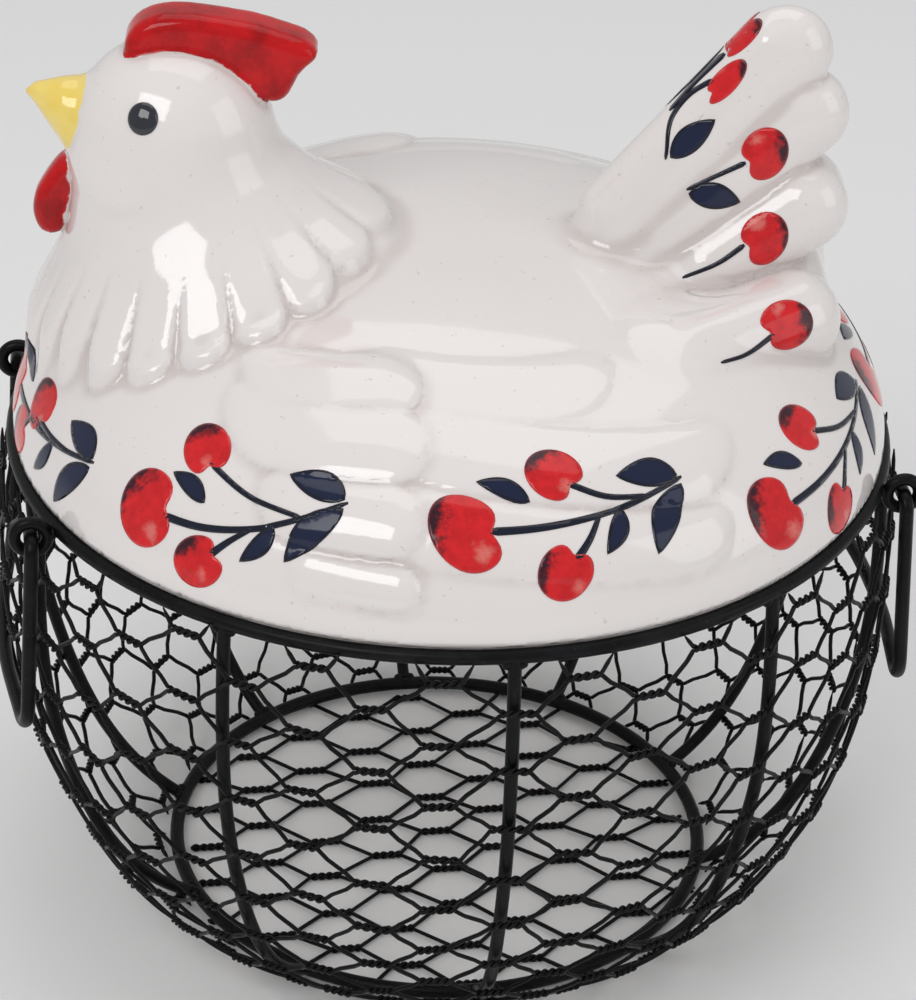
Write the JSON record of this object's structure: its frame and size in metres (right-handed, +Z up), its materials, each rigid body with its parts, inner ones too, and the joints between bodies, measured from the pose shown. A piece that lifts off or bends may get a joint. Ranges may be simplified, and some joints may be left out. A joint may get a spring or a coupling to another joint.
{
  "type": "wire egg basket with hen lid",
  "caption": "Round wire-netting basket on a ribbed wire frame with two drop handles and a lift-off hollow ceramic hen for a lid.",
  "frame": {"origin": "on the floor, under the centre of the round basket", "axes": "+Z up; +X and -X point at the two drop handles; the hen looks roughly along -X, turned 6 degrees as it stands on the rim"},
  "size_m": [0.2286, 0.2242, 0.2417],
  "materials": {
    "black_wire": "satin black coated steel wire",
    "netting_wire": "satin black coated thin steel wire",
    "white_glaze": "glossy warm white glaze with painted red, navy and yellow details"
  },
  "bodies": {
    "basket": {"rim_ring": "black_wire", "base_ring": "black_wire", "rib_01": "black_wire", "rib_02": "black_wire", "rib_03": "black_wire", "rib_04": "black_wire", "rib_05": "black_wire", "rib_06": "black_wire", "rib_07": "black_wire", "rib_08": "black_wire", "rib_09": "black_wire", "rib_10": "black_wire", "side_netting": "netting_wire", "base_netting": "netting_wire", "left_front_eyelet": "black_wire", "left_rear_eyelet": "black_wire", "right_front_eyelet": "black_wire", "right_rear_eyelet": "black_wire"},
    "lid": {"hen_lid": "white_glaze"},
    "left_bail": {"left_handle": "black_wire"},
    "right_bail": {"right_handle": "black_wire"}
  },
  "joints": [
    {"name": "lid_lift", "type": "slide", "parent": "basket", "child": "lid", "axis": [0, 0, 1], "range_m": [0, 0.07]},
    {"name": "left_handle_swing", "type": "hinge", "parent": "basket", "child": "left_bail", "pos_m": [-0.1055, 0, 0.127], "axis": [0, 1, 0], "range_deg": [0, 165]},
    {"name": "right_handle_swing", "type": "hinge", "parent": "basket", "child": "right_bail", "pos_m": [0.1055, 0, 0.127], "axis": [0, -1, 0], "range_deg": [0, 165]}
  ]
}
